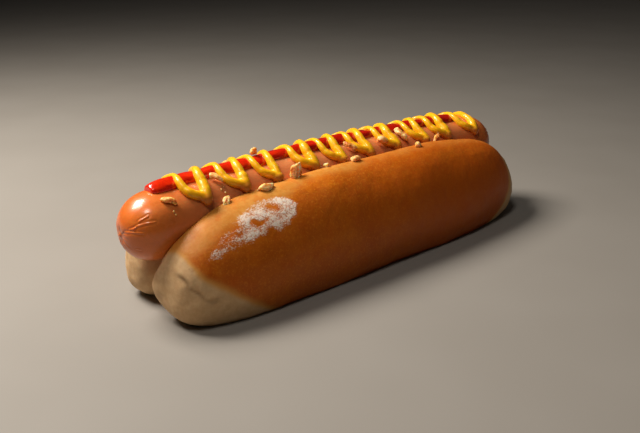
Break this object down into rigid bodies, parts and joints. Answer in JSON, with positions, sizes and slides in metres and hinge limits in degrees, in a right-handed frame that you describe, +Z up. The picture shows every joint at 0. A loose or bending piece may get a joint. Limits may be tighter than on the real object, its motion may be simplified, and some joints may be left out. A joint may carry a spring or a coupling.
{
  "type": "hot dog",
  "caption": "Frankfurter in a split soft bread roll, with a band of ketchup along its top, a zigzag line of mustard over it and flakes of crisp fried onion.",
  "frame": {"origin": "on the roll's flat underside, below the middle of the frankfurter's length", "axes": "+X along the frankfurter, from the end that is nearer in the picture to the farther one; +Y across it, towards the lobe behind; +Z up"},
  "size_m": [0.199, 0.061, 0.052],
  "materials": {
    "crust": "soft baked crust, golden brown with a satin sheen, pale cream crumb skin at the ends",
    "sausage_skin": "smooth moist casing, glossy",
    "ketchup": "wet, glossy",
    "mustard": "smooth paste, glossy",
    "fried_onion": "dry crisp batter, slightly oily"
  },
  "bodies": {
    "root": {"bun": "crust", "sausage": "sausage_skin", "ketchup": "ketchup", "mustard": "mustard", "onion_01": "fried_onion", "onion_02": "fried_onion", "onion_03": "fried_onion", "onion_04": "fried_onion", "onion_05": "fried_onion", "onion_06": "fried_onion", "onion_07": "fried_onion", "onion_08": "fried_onion", "onion_09": "fried_onion", "onion_10": "fried_onion", "onion_11": "fried_onion", "onion_12": "fried_onion", "onion_13": "fried_onion", "onion_14": "fried_onion", "onion_15": "fried_onion", "onion_16": "fried_onion", "onion_17": "fried_onion", "onion_18": "fried_onion", "onion_19": "fried_onion"}
  },
  "joints": []
}
